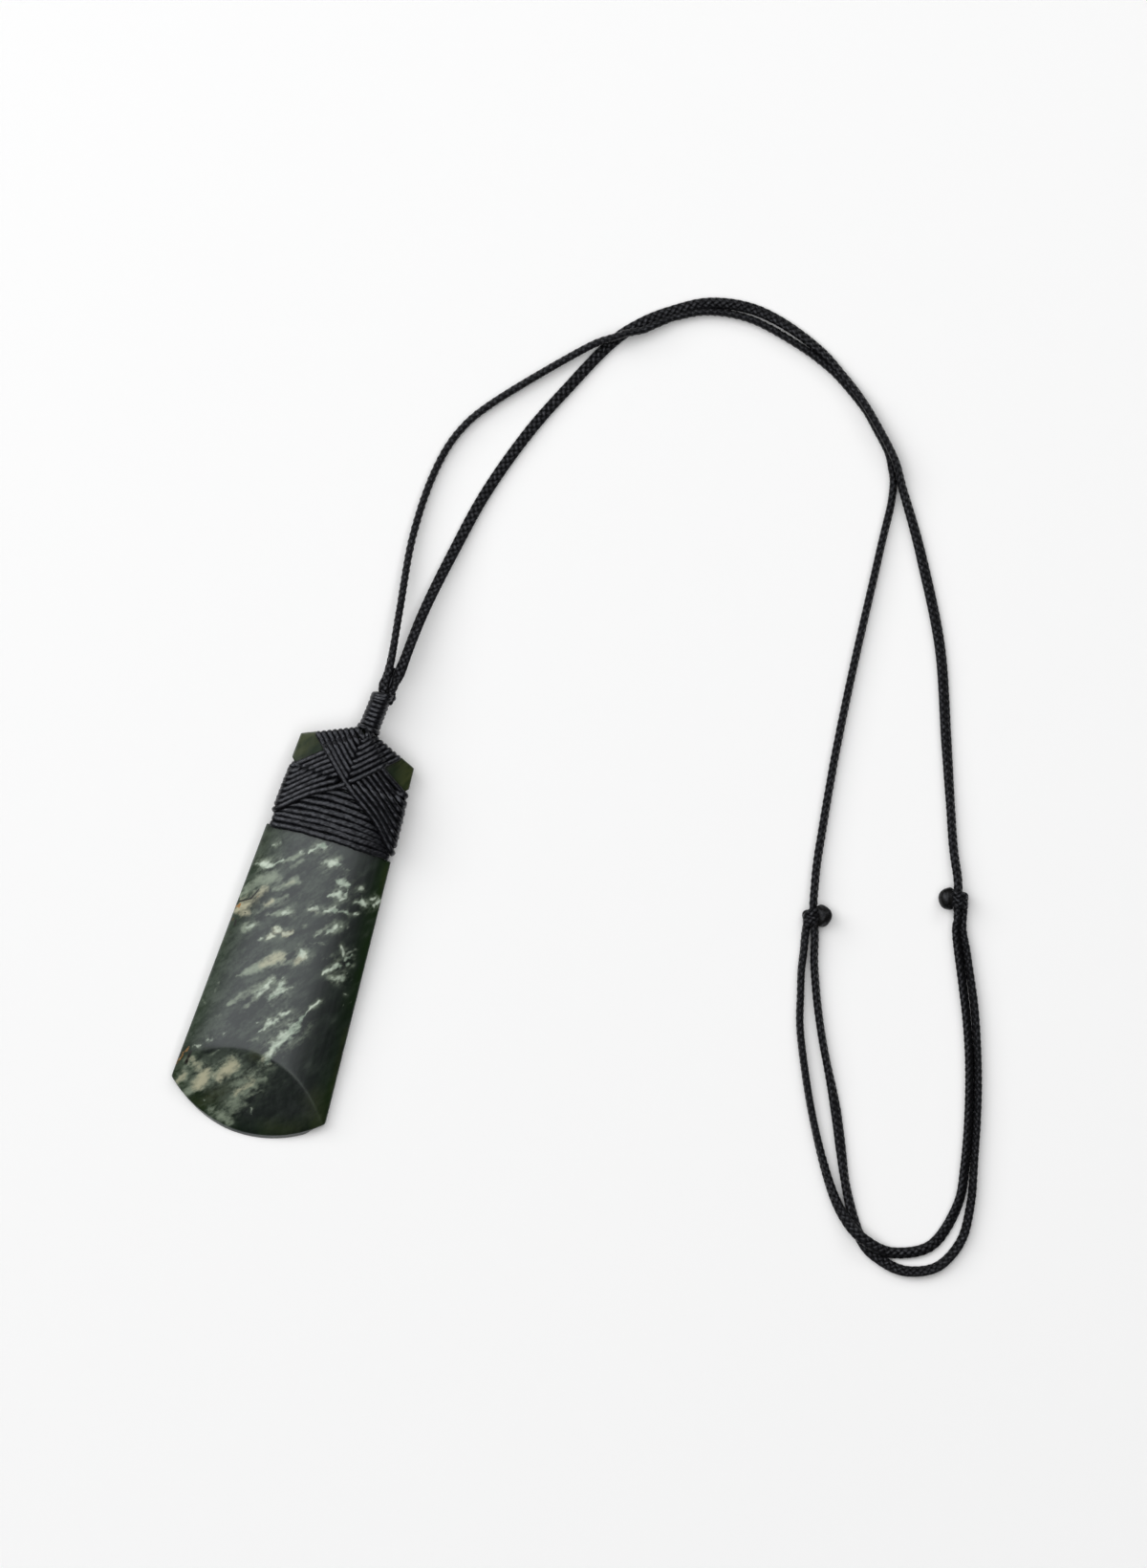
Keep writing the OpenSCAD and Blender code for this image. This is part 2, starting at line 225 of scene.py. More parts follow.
CLEAR = 0.08  # keeps the braid's bulges off the floor


def turned_out(line, turn):
    """The way out of a ribbon's flat side along a level line, when the side is turned up by this angle."""
    along = tangents(line)
    side = unit_rows(np.cross(along, [0, 0, 1]))
    up = np.cross(side, along)
    return up * np.cos(turn)[:, None] - side * np.sin(turn)[:, None]


def braid_piece(name, line, out, wide, thick, lay=4.9, pairs=4, sides=6):
    """A round plait pressed flat along a line: pairs of strands wound each way, over and under each other."""
    along = tangents(line)
    far = distances(line)
    flat = unit_rows(np.cross(along, out))
    n = len(line)
    rise, r_thin = thick * 0.045, thick * 0.15
    half_wide, half_thick = wide / 2 - r_thin - rise, thick / 2 - r_thin - rise
    slant = math.atan2(math.pi * (half_wide + half_thick), lay)
    r_wide = math.pi * (half_wide + half_thick) * math.cos(slant) / pairs * 0.56
    verts, faces, painted_top_light, lie = [], [], [], []
    for strand in range(2 * pairs):
        way_round = 1 if strand < pairs else -1
        turn = 2 * math.pi * (way_round * far / lay + strand / pairs)
        over = way_round * np.cos(2 * math.pi * pairs * far / lay)
        c, s = np.cos(turn)[:, None], np.sin(turn)[:, None]
        outward = unit_rows(flat * c / half_wide + out * s / half_thick)
        middle = line + flat * c * half_wide + out * s * half_thick + outward * (rise * over)[:, None]
        way = tangents(middle)
        face = unit_rows(outward - way * np.sum(outward * way, axis=1)[:, None])
        beside = np.cross(way, face)
        faces += ring_faces(len(verts), n, sides)
        for k in range(sides):
            a = 2 * math.pi * (k + 0.5) / sides
            verts.extend(middle + beside * (r_wide * math.cos(a)) + face * (r_thin * math.sin(a)))
            # Outward sides and strands passing over get painted top light; inner sides and strands passing under
            # stay dark as painted shade.
            painted_top_light.extend(smooth(0.25 + 0.5 * over) * smooth(math.sin(a) + 0.15))
            lie.extend(np.column_stack([far, np.full(n, a * r_wide), np.full(n, APART * strand)]))
    few = slice(None, None, 4)
    core_sides = 8
    faces += ring_faces(len(verts), len(line[few]), core_sides)
    for k in range(core_sides):
        a = 2 * math.pi * k / core_sides
        inner = line + flat * (half_wide * math.cos(a)) + out * (half_thick * math.sin(a))
        verts.extend(inner[few])
        painted_top_light.extend([0.0] * len(inner[few]))
        lie.extend(np.column_stack([far, np.full(n, a), np.full(n, 11 * APART)])[few])
    return fibre_piece(name, verts, faces, painted_top_light, lie)


def make_cord(name, route, turns, aside, root, tail, lift=((0, 0),)):
    """One braided cord. Where it is on the floor it rests on whichever side is down.
    Its root goes into the neck's collar and its tail into its knot."""
    line = evenly(curve_through(root + route + tail, 10), CORD_STEP)
    far = distances(line) - distances(np.array(root + route[:1], float))[-1]
    turn = np.radians(np.interp(far, *zip(*turns)))
    half_height = np.sqrt((CORD_WIDE / 2 * np.sin(turn)) ** 2 + (CORD_THICK / 2 * np.cos(turn)) ** 2)
    low = smooth((2.2 - line[:, 2]) / 1.2)
    line[:, 2] += (half_height + CLEAR - ON_FLOOR) * low + np.interp(far, *zip(*lift))
    at, right, down = zip(*aside)
    line += np.outer(np.interp(far, at, right), [LEAN_COS, LEAN_SIN, 0])
    line += np.outer(np.interp(far, at, down), [LEAN_SIN, -LEAN_COS, 0])
    piece = braid_piece(name, line, turned_out(line, turn), CORD_WIDE, CORD_THICK)
    return piece, line, distances(line)[-1]


# The stone

TIP_Y, PEAK_Y, SHOULDER_Y = -39.0, 32.0, 27.6
CROWN_X, CROWN_R, BLADE_T = -1.0, 26.0, 6.0
LAND_T, BEVEL_R, BEVEL_SLOPE = 0.8, 40.0, 0.385
EDGE_R, CORNER_Y = 19.5, -33.57
SEAT_Z, GABLE_CUT, NOTCH_D = 2.0, 0.65, 1.3
SHOULDER_X, SIDE_SLOPE = 9.9, 0.05885
GABLE_SLOPE = 4.4 / SHOULDER_X
GRAIN, MERGE = 0.00023, 0.000002  # how fine the stone's mesh is, in metres
ENLARGED = 8  # how many times the views that the marks were read from are enlarged


def half_width(y):
    return SHOULDER_X + (SHOULDER_Y - y) * SIDE_SLOPE


def crown_z(x):
    return BLADE_T - CROWN_R + np.sqrt(CROWN_R**2 - (np.asarray(x, float) - CROWN_X) ** 2)


def bevel_z(x, y):
    return LAND_T + (BEVEL_R - np.hypot(x, y - (TIP_Y + BEVEL_R))) * BEVEL_SLOPE


def gable_y(x):
    return PEAK_Y - GABLE_CUT - abs(x) * GABLE_SLOPE


def from_rim(x, y):
    """How far a point of the face lies inside the stone's outline."""
    sides = half_width(y) - np.abs(x)
    top = (PEAK_Y - np.abs(x) * GABLE_SLOPE - y) * math.cos(math.atan(GABLE_SLOPE))
    tip = np.where(y < CORNER_Y + 3, EDGE_R - np.hypot(x, y - (TIP_Y + EDGE_R)), 99.0)
    return np.minimum(np.minimum(sides, top), tip)


def on_face(corner, x, y):
    """A place on the face, from where it shows in a view of the picture enlarged from a corner."""
    px, py = corner[0] + x / ENLARGED, corner[1] + y / ENLARGED
    across = (px * LEAN_COS + py * LEAN_SIN - ORIGIN_ACROSS) * PIXEL
    along = (px * LEAN_SIN - py * LEAN_COS + ORIGIN_DOWN) * PIXEL
    # The face is nearer to the camera than the floor, so it shows a little larger round the picture's middle
    (mx, my), smaller = PICTURE_MIDDLE, 0.998
    return mx + (across - mx) * smaller, my + (along - my) * smaller


def strokes(x, y, views, softness, swell=1.0):
    """How strongly listed tapered strokes cover each point of the face. swell makes them all wider.
    A stroke is its first end with its half width there, its other end and half width, and its strength."""
    cover = np.zeros_like(x)
    for corner, marks in views.items():
        for x0, y0, r0, x1, y1, r1, strength in marks:
            (ax, ay), (bx, by) = on_face(corner, x0, y0), on_face(corner, x1, y1)
            long = max((bx - ax) ** 2 + (by - ay) ** 2, 1e-6)
            t = np.clip(((x - ax) * (bx - ax) + (y - ay) * (by - ay)) / long, 0, 1)
            r = (r0 + (r1 - r0) * t) * (PIXEL / ENLARGED) * swell
            away = np.hypot(x - ax - t * (bx - ax), y - ay - t * (by - ay))
            cover = np.maximum(cover, strength * smooth(0.5 + (1 - away / r) / (2 * softness)))
    return cover


def prism(name, outline):
    """A filler between the seat's depth and the face, with this outline."""
    n = len(outline)
    low = [(x, y, SEAT_Z - 0.05) for x, y in outline]
    high = [(x, y, crown_z(x) - 0.02) for x, y in outline]
    faces = [list(range(n)), list(range(n, 2 * n))]
    faces += [(i, (i + 1) % n, (i + 1) % n + n, i + n) for i in range(n)]
    return mesh_piece(name, low + high, faces)


def seat_end(side):
    """The side notch runs out towards the shoulder, under the last thread."""
    y_top, y_out, y_deep = (24.3, 24.0, 22.8) if side > 0 else (24.3, 23.4, 22.2)
    inner, deep = 8.2, half_width(y_deep) - NOTCH_D - 0.02
    outer = [(half_width(y_top), y_top), (half_width(y_out), y_out), (deep, y_deep)]
    return prism("seat_end", [(side * x, y) for x, y in [(inner, y_top), *outer, (inner, y_deep)]])


def gable_end(side):
    """The seat on the gable runs out just past the last thread."""
    full, low = PEAK_Y - 0.02, 0.5
    inner = [(7.0, gable_y(7.0) - low), (7.0, gable_y(7.0))]
    outer = [(x, full - x * GABLE_SLOPE) for x in (7.35, 8.9)]
    return prism("gable_end", [(side * x, y) for x, y in [*inner, *outer, (8.9, gable_y(8.9) - low)]])


def make_stone():
    """The blade: a closed copy of the solid with softened edges, and the face set to its true curve."""
    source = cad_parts["toki_blade"]
    stone = source.copy()
    stone.data = source.data.copy()
    stone.name = "stone_blade"
    stone.parent = None
    for key in list(stone.keys()):
        del stone[key]
    bpy.context.scene.collection.objects.link(stone)
    fillers = [end(side) for end in (seat_end, gable_end) for side in (-1, 1)]
    pick(stone, *fillers)
    bpy.ops.object.join()
    stone.data.materials.clear()
    bpy.ops.mesh.customdata_custom_splitnormals_clear()
    bpy.ops.object.mode_set(mode="EDIT")
    bpy.ops.mesh.select_all(action="SELECT")
    bpy.ops.mesh.remove_doubles(threshold=MERGE)
    bpy.ops.object.mode_set(mode="OBJECT")
    stone.data.remesh_voxel_size = GRAIN
    bpy.ops.object.voxel_remesh()
    soften = stone.modifiers.new("soften", "SMOOTH")
    soften.factor = 0.5
    soften.iterations = 3
    bpy.ops.object.modifier_apply(modifier="soften")
    mesh = stone.data
    n = len(mesh.vertices)
    co, normal = np.empty(n * 3), np.empty(n * 3)
    mesh.vertices.foreach_get("co", co)
    mesh.vertices.foreach_get("normal", normal)
    co, normal = co.reshape(-1, 3) / MM, normal.reshape(-1, 3)
    x, y, z = co.T
    crown, bevel = crown_z(x), bevel_z(x, y)
    round_off, near = 0.06, 0.12
    face = np.minimum(crown, bevel) - round_off * np.exp(-np.abs(crown - bevel) / near)
    inside = from_rim(x, y)
    facing = smooth((inside - 0.3) / 0.4) * (normal[:, 2] > 0.25) * (z > 0.6)
    co[:, 2] = z * (1 - facing) + face * facing
    arm = unit_rows(np.column_stack([x, y - (TIP_Y + EDGE_R)]))
    foot = 0.42 * smooth((LAND_T + 0.05 - z) / LAND_T) * smooth((0.35 - inside) / 0.2)
    foot = foot * (y < CORNER_Y + 1.5) * (smooth((x + 12.5) / 12) * smooth((12.2 - x) / 2.0))
    co[:, :2] += arm * foot[:, None]
    mesh.vertices.foreach_set("co", (co * MM).ravel())
    mesh.update()
    bpy.ops.object.shade_smooth()
    paint_stone(mesh, x, y)
    return stone


def paint_stone(mesh, x, y):
    """Masks on the stone's points, which the material breaks up with its grain."""
    wavy_x = x + 0.11 * np.sin(2.9 * x + 1.7 * y) + 0.08 * np.sin(6.1 * y - 2.3 * x + 1.0)
    wavy_y = y + 0.11 * np.sin(2.3 * y - 3.1 * x + 2.0) + 0.08 * np.sin(5.3 * x + 4.7 * y)
    rim, above = from_rim(x, y), bevel_z(x, y) - crown_z(x)
    # Painted shade: along the rim, wider on the left, and over the shoulders the stone is tinted dark green and
    # made less shiny.
    shade_margin_width = 3.8 + 2.4 * smooth(-x / 5)
    # Broad haze over the left of the face, only where the sheen falls: partly the stone's own mottling, partly
    # painted sheen.
    broad_haze_and_sheen = 0.38 * smooth((5 - x) / 5) * smooth(above) * smooth((14 - y) / 3)
    bevel_haze = 0.07 * smooth(-above / 0.15) * smooth((1 - x) / 5)

    def wavy(marks, softness, swell=1.0):
        return strokes(wavy_x, wavy_y, marks, softness, swell)

    gable = smooth((y - 22) / 3) * smooth(1.1 - rim / 3.5)
    layers = {
        "painted_shade_margin": np.maximum(smooth(1 - rim / shade_margin_width), smooth((y - 21) / 3)),
        "olive": np.maximum(gable, 0.65 * wavy(OLIVE, 2.0)),
        "fleck": wavy(FLECKS, 1.25, 1.05),
        "cloud": np.maximum(wavy(CLOUDS, 2.0), 0.55 * wavy(FLECKS, 2.5, 2.0)),
        "haze_and_sheen": np.maximum(wavy(HAZE, 2.2, 1.2), broad_haze_and_sheen) + bevel_haze,
        "cream": wavy(CREAM, 1.6),
        "rust": wavy(RUST, 1.2),
        "crack": strokes(x, y, CRACKS, 0.9),
        # Painted highlight: a thin band along the rim, which the material makes shinier.
        "rim": smooth((0.3 - rim) / 0.3),
        # Painted highlight: a pale line along the ridge between the face and the bevel.
        "painted_ridge_highlight": np.exp(-((above / 0.06) ** 2)),
    }
    for name, values in layers.items():
        mark_points(mesh, name, values)


# The stone's marks, read from two enlarged views of the picture

UPPER, LOWER = (230, 855), (170, 1000)
FLECKS = {UPPER: [
    (745, 300, 6, 820, 250, 16, 0.9), (820, 250, 18, 875, 235, 24, 1), (455, 405, 5, 520, 355, 14, 0.9),
    (345, 395, 20, 425, 408, 26, 1), (305, 380, 12, 345, 395, 16, 0.6), (440, 245, 10, 505, 205, 18, 0.5),
    (840, 390, 22, 910, 375, 34, 0.45), (915, 385, 26, 1000, 390, 18, 0.95), (680, 295, 12, 692, 290, 12, 0.6),
    (980, 540, 18, 1030, 540, 26, 1), (1030, 550, 28, 1075, 570, 26, 1), (1070, 590, 8, 1040, 690, 12, 0.75),
    (905, 655, 8, 1000, 645, 30, 1), (1010, 690, 10, 1045, 680, 14, 0.9), (1170, 600, 16, 1200, 610, 20, 0.5),
    (1185, 650, 8, 1190, 690, 10, 0.6), (1130, 715, 10, 1180, 710, 16, 0.95), (1180, 705, 18, 1215, 735, 20, 1),
    (1268, 685, 10, 1300, 675, 12, 0.8), (1275, 735, 10, 1282, 745, 12, 0.7), (1315, 725, 16, 1355, 700, 18, 0.8),
    (745, 775, 12, 800, 760, 24, 0.75), (885, 785, 12, 965, 780, 22, 1), (1000, 780, 12, 1065, 800, 12, 0.95),
    (1118, 805, 10, 1150, 812, 12, 0.85), (880, 980, 8, 965, 920, 24, 0.85), (1000, 920, 8, 1010, 918, 8, 0.6),
    (1068, 915, 9, 1080, 915, 9, 0.6), (805, 995, 8, 850, 955, 14, 0.4), (530, 800, 16, 570, 800, 24, 0.7),
    (225, 925, 12, 280, 888, 16, 0.6), (465, 940, 20, 505, 945, 24, 0.75), (400, 1005, 16, 440, 990, 16, 0.6),
    (325, 1030, 10, 345, 1020, 12, 0.5), (530, 985, 12, 620, 958, 14, 0.55), (680, 1095, 5, 690, 1150, 30, 0.85),
    (690, 1150, 30, 630, 1180, 18, 0.6), (1022, 1080, 10, 1035, 1150, 12, 0.85),
    (1040, 1140, 8, 1140, 1105, 12, 0.5), (1040, 1205, 10, 1095, 1160, 16, 0.85),
    (1065, 1232, 14, 1085, 1228, 14, 0.85), (855, 1310, 5, 990, 1240, 24, 1),
    (940, 1350, 18, 1030, 1350, 24, 0.65), (1050, 1290, 6, 1100, 1380, 8, 0.4),
    (400, 1512, 16, 450, 1490, 22, 0.7), (480, 1440, 16, 530, 1395, 20, 0.85), (515, 1352, 6, 530, 1340, 9, 0.5),
    (540, 1450, 12, 600, 1420, 16, 0.55), (1045, 1490, 7, 1050, 1482, 7, 0.5),
    (1082, 1555, 8, 1100, 1540, 8, 0.4),
], LOWER: [
    (927, 182, 4, 870, 260, 22, 0.85), (870, 260, 22, 790, 320, 28, 0.65), (985, 235, 12, 1005, 290, 28, 0.85),
    (1000, 290, 26, 910, 345, 24, 0.85), (1180, 500, 4, 1300, 385, 10, 1), (1300, 385, 10, 1320, 378, 10, 1),
    (1180, 510, 10, 1120, 590, 38, 0.95), (1120, 590, 38, 1030, 675, 42, 1.05), (1030, 675, 38, 920, 780, 28, 1),
    (920, 780, 26, 870, 900, 24, 0.8), (880, 730, 7, 935, 715, 9, 0.6), (1000, 490, 18, 1050, 480, 22, 0.85),
    (965, 540, 20, 885, 565, 26, 0.85), (885, 565, 24, 815, 635, 8, 0.85), (788, 562, 8, 795, 565, 8, 0.7),
    (380, 700, 18, 405, 700, 20, 0.6), (515, 655, 14, 535, 640, 14, 0.5), (255, 760, 11, 310, 750, 11, 0.5),
    (350, 530, 8, 390, 500, 12, 0.5), (1525, 320, 7, 1530, 325, 7, 0.5), (1510, 420, 7, 1525, 410, 7, 0.4),
    (425, 1015, 6, 432, 1010, 6, 0.6), (742, 1280, 7, 740, 1350, 8, 0.7), (715, 1332, 7, 740, 1330, 7, 0.5),
    (345, 1200, 3, 340, 1270, 3, 0.5),
]}
HAZE = {UPPER: [
    (230, 520, 50, 440, 430, 60, 0.5), (190, 660, 50, 430, 500, 70, 0.75), (420, 560, 50, 650, 520, 40, 0.6),
    (380, 740, 40, 640, 600, 40, 0.5), (260, 820, 40, 400, 730, 40, 0.6), (340, 820, 30, 600, 780, 40, 0.5),
    (190, 940, 40, 320, 870, 40, 0.5), (540, 440, 30, 720, 330, 30, 0.4), (800, 390, 50, 960, 390, 50, 0.45),
    (1060, 430, 30, 1160, 480, 40, 0.35), (700, 780, 40, 900, 800, 50, 0.45), (620, 950, 30, 730, 890, 40, 0.35),
    (740, 1050, 20, 900, 1060, 30, 0.35), (760, 1010, 24, 1000, 910, 40, 0.45), (400, 960, 60, 620, 960, 50, 0.4),
    (140, 1330, 20, 520, 1190, 80, 0.6), (560, 1230, 40, 720, 1140, 60, 0.6), (60, 1560, 30, 440, 1370, 50, 0.6),
    (380, 1540, 40, 620, 1400, 50, 0.55), (860, 1180, 50, 960, 1150, 50, 0.35),
    (880, 1340, 40, 1100, 1360, 40, 0.45), (960, 1180, 50, 1100, 1130, 50, 0.35),
    (700, 1190, 60, 860, 1220, 60, 0.25), (960, 560, 60, 1080, 620, 70, 0.3), (480, 400, 20, 740, 280, 24, 0.45),
    (240, 480, 30, 300, 380, 30, 0.35), (100, 990, 20, 60, 960, 30, 0.3), (560, 640, 50, 700, 560, 60, 0.3),
    (420, 250, 30, 520, 190, 34, 0.4), (1140, 640, 40, 1240, 720, 50, 0.35),
], LOWER: [
    (540, 410, 20, 760, 330, 60, 0.5), (300, 420, 40, 340, 350, 40, 0.25), (430, 310, 20, 480, 210, 24, 0.35),
    (330, 550, 30, 480, 490, 30, 0.35), (780, 660, 40, 1060, 480, 50, 0.5), (700, 760, 40, 820, 690, 40, 0.35),
    (340, 720, 40, 430, 680, 40, 0.4), (240, 770, 30, 340, 740, 30, 0.4), (480, 680, 24, 560, 630, 24, 0.35),
    (860, 820, 50, 1180, 560, 60, 0.45), (110, 1050, 60, 240, 900, 80, 0.75), (180, 1150, 50, 420, 940, 90, 0.8),
    (420, 1020, 90, 620, 900, 80, 0.75), (620, 1080, 90, 860, 1020, 50, 0.7), (560, 1200, 60, 760, 1090, 60, 0.7),
    (400, 1310, 60, 660, 1230, 60, 0.7), (460, 1350, 50, 540, 1400, 40, 0.6), (680, 1200, 40, 850, 1130, 30, 0.5),
    (820, 920, 50, 930, 780, 40, 0.5), (860, 980, 60, 1100, 1060, 80, 0.25), (640, 1350, 40, 760, 1270, 30, 0.3),
]}
CLOUDS = {UPPER: [
    (180, 650, 28, 330, 560, 40, 0.7), (330, 560, 40, 430, 500, 44, 0.75), (400, 530, 24, 640, 530, 26, 0.6),
    (460, 600, 20, 640, 540, 24, 0.85), (600, 420, 14, 700, 360, 12, 0.5), (490, 390, 8, 700, 300, 12, 0.7),
    (370, 760, 24, 560, 660, 22, 0.85), (290, 800, 20, 430, 770, 16, 0.5), (390, 810, 12, 590, 795, 26, 0.85),
    (200, 930, 22, 300, 880, 22, 0.8), (330, 1035, 12, 440, 1000, 12, 0.5), (690, 950, 12, 720, 900, 12, 0.4),
    (790, 1000, 12, 900, 920, 18, 0.5), (140, 1330, 8, 300, 1260, 26, 0.9), (300, 1260, 26, 510, 1190, 44, 0.9),
    (80, 1565, 14, 300, 1450, 34, 0.8), (300, 1450, 34, 440, 1350, 22, 0.85),
    (590, 1220, 24, 700, 1130, 40, 0.75), (870, 1180, 24, 930, 1160, 24, 0.3),
    (410, 1530, 24, 530, 1400, 34, 0.7), (500, 1470, 16, 600, 1430, 16, 0.5), (740, 780, 22, 880, 790, 22, 0.4),
    (840, 390, 20, 940, 380, 26, 0.6), (1170, 600, 18, 1200, 610, 18, 0.7), (1070, 440, 14, 1100, 450, 14, 0.3),
    (455, 240, 12, 505, 210, 18, 0.7), (930, 1350, 24, 1040, 1350, 24, 0.7), (760, 1050, 6, 870, 1060, 8, 0.35),
    (1040, 1160, 12, 1140, 1110, 14, 0.5), (680, 640, 10, 640, 720, 10, 0.25),
], LOWER: [
    (790, 330, 30, 700, 430, 16, 0.75), (760, 330, 24, 560, 405, 10, 0.55), (1000, 290, 30, 1080, 265, 10, 0.5),
    (440, 300, 6, 475, 220, 9, 0.5), (330, 360, 10, 350, 400, 12, 0.35), (450, 500, 14, 480, 505, 14, 0.4),
    (850, 600, 24, 1000, 520, 30, 0.6), (900, 720, 24, 1150, 580, 30, 0.6), (130, 1050, 36, 190, 970, 30, 0.7),
    (230, 880, 34, 320, 940, 44, 0.75), (200, 1140, 20, 300, 1100, 40, 0.75), (280, 1100, 44, 380, 960, 46, 0.8),
    (440, 1010, 46, 600, 890, 46, 0.8), (640, 1060, 50, 760, 1000, 40, 0.75),
    (620, 1160, 34, 760, 1080, 30, 0.85), (770, 1050, 30, 860, 1030, 16, 0.6),
    (690, 1180, 14, 830, 1130, 12, 0.5), (520, 1250, 24, 640, 1220, 26, 0.7),
    (420, 1300, 30, 540, 1370, 34, 0.75), (580, 1310, 26, 680, 1240, 20, 0.6), (830, 900, 24, 920, 770, 26, 0.7),
    (700, 720, 12, 800, 690, 12, 0.35), (390, 830, 12, 470, 790, 8, 0.3), (560, 830, 14, 640, 850, 14, 0.3),
]}
CREAM = {UPPER: [
    (150, 770, 30, 260, 720, 34, 0.7), (260, 720, 34, 380, 600, 30, 0.6), (180, 820, 24, 235, 790, 24, 0.65),
    (180, 680, 14, 290, 610, 14, 0.5), (390, 740, 22, 440, 700, 18, 0.75), (340, 1235, 20, 420, 1205, 30, 0.6),
    (420, 1205, 30, 515, 1175, 36, 0.75), (465, 940, 20, 505, 950, 20, 0.85), (535, 985, 12, 615, 960, 14, 0.85),
    (630, 1200, 22, 690, 1160, 22, 0.85), (540, 570, 10, 620, 540, 12, 0.4), (400, 1005, 14, 440, 990, 14, 0.6),
    (750, 770, 14, 800, 790, 14, 0.4), (360, 580, 14, 330, 650, 16, 0.6),
], LOWER: [
    (230, 870, 28, 300, 930, 36, 0.6), (290, 1090, 36, 370, 960, 34, 1), (470, 1010, 34, 590, 900, 38, 1),
    (120, 1060, 26, 175, 980, 24, 0.6), (610, 1150, 22, 740, 1070, 20, 0.6), (840, 870, 20, 880, 900, 20, 0.5),
    (900, 800, 14, 870, 890, 16, 0.4), (700, 1020, 20, 760, 1040, 20, 0.5), (850, 70, 20, 990, 30, 30, 0.7),
]}
OLIVE = {UPPER: [
    (390, 120, 30, 300, 380, 30, 0.5), (1400, 420, 24, 1340, 760, 18, 0.6), (1330, 900, 14, 1180, 1480, 14, 0.6),
    (10, 1060, 16, 60, 960, 20, 0.5),
], LOWER: [
    (390, 1180, 60, 520, 1110, 50, 1), (270, 1220, 40, 340, 1250, 30, 0.8), (760, 840, 30, 830, 850, 30, 1),
    (1270, 1200, 60, 1310, 1420, 80, 0.75), (900, 1440, 50, 1150, 1460, 60, 0.5),
    (1540, 620, 16, 1390, 1250, 20, 0.6), (230, 520, 16, 340, 200, 16, 0.4), (150, 900, 12, 90, 1000, 14, 0.5),
]}
RUST = {UPPER: [
    (132, 755, 10, 162, 742, 15, 1), (88, 865, 12, 118, 850, 12, 0.6), (300, 665, 6, 325, 640, 9, 0.6),
    (140, 810, 6, 170, 790, 6, 0.5),
], LOWER: [
    (105, 910, 8, 165, 830, 18, 0.62), (165, 830, 18, 225, 755, 8, 0.7),
]}
CRACKS = {UPPER: [
    (158, 705, 5, 260, 680, 7, 1), (260, 680, 7, 330, 600, 5, 1), (330, 600, 4, 355, 560, 3, 0.6),
    (198, 800, 5, 215, 798, 5, 0.8), (135, 855, 7, 120, 905, 11, 0.9), (150, 850, 4, 215, 850, 4, 0.6),
    (985, 1180, 3, 1060, 1300, 4, 0.7),
], LOWER: [
    (190, 900, 18, 235, 800, 14, 0.75), (120, 930, 8, 190, 800, 6, 0.5),
]}


# The lashing: each thread goes once round the stone in its seat

THREAD_WIDE, THREAD_THICK = 1.0, 0.82
THREAD_R = THREAD_THICK / 2
THREAD_STEP = 0.2
LAYER = 0.76


def corner_arc(centre, z, way, across, up, start):
    """A quarter turn round an edge of the stone, in an upright plane."""
    return [
        [*(centre[:2] + way * across * math.cos(a)), z + up * math.sin(a)]
        for a in np.radians(np.linspace(start, start - 90, 6))
    ]


def round_the_stone(front, heights, start_normal, end_normal, back_height, walls):
    """A closed path: over the face, round the far wall, along the back and up the near wall.
    heights are above the face; walls is how far it stands off the stone where it starts and where it ends."""
    front = np.array(front, float)
    top = [[p[0], p[1], crown_z(p[0]) + h] for p, h in zip(front, heights)]
    end_way = unit(front[-1] - front[-2])
    start_way = unit(front[0] - front[1])
    end_across = walls[1] / abs(np.dot(end_way, end_normal))
    start_across = walls[0] / abs(np.dot(start_way, start_normal))
    end, start = front[-1], front[0]
    back = [[*(end + (start - end) * f), SEAT_Z - back_height] for f in np.linspace(0.04, 0.96, 12)]
    path = (
        top[:-1]
        + corner_arc(end, crown_z(end[0]), end_way, end_across, heights[-1], 90)
        + corner_arc(end, SEAT_Z, end_way, end_across, back_height, 0)
        + back
        + corner_arc(start, SEAT_Z, -start_way, start_across, back_height, 270)
        + corner_arc(start, crown_z(start[0]), -start_way, start_across, heights[0], 180)
    )
    path.append(path[0])
    return evenly(np.array(path), THREAD_STEP)[:-1]


BELT_HEIGHTS = (12.35, 13.45, 14.4, 15.4, 16.5, 17.65, 18.8, 19.95, 21.1)


def belt_paths():
    """The level threads, a little arched over the face and crowded at the sides.
    The ninth lies under the crossing."""
    paths = []
    for i, y_mid in enumerate(BELT_HEIGHTS):
        xs = np.linspace(-1, 1, 40)
        wall = half_width(y_mid) - NOTCH_D
        x = xs * wall
        sag = np.where(xs < 0, 0.55, 0.2) * xs**2
        wave = 0.05 * np.sin(x * 0.9 + i * 1.7) + 0.04 * np.sin(x * 2.3 + i * 4.1)
        y = y_mid - sag - 0.1 * i * xs**2 + wave
        front = np.column_stack([x, y])
        paths.append(round_the_stone(front, np.full(40, THREAD_R), [-1, 0], [1, 0], THREAD_R, (0.5, 0.5)))
    return paths


TIPS_X = (0.4, -0.1, -0.3, -0.3, -0.35, -0.4, -0.35, -0.15)


def crossing_tip(k):
    """Where the k-th thread from each side meets its partner, down the middle of the face."""
    return np.array([TIPS_X[k], 29.9 - 1.15 * k])


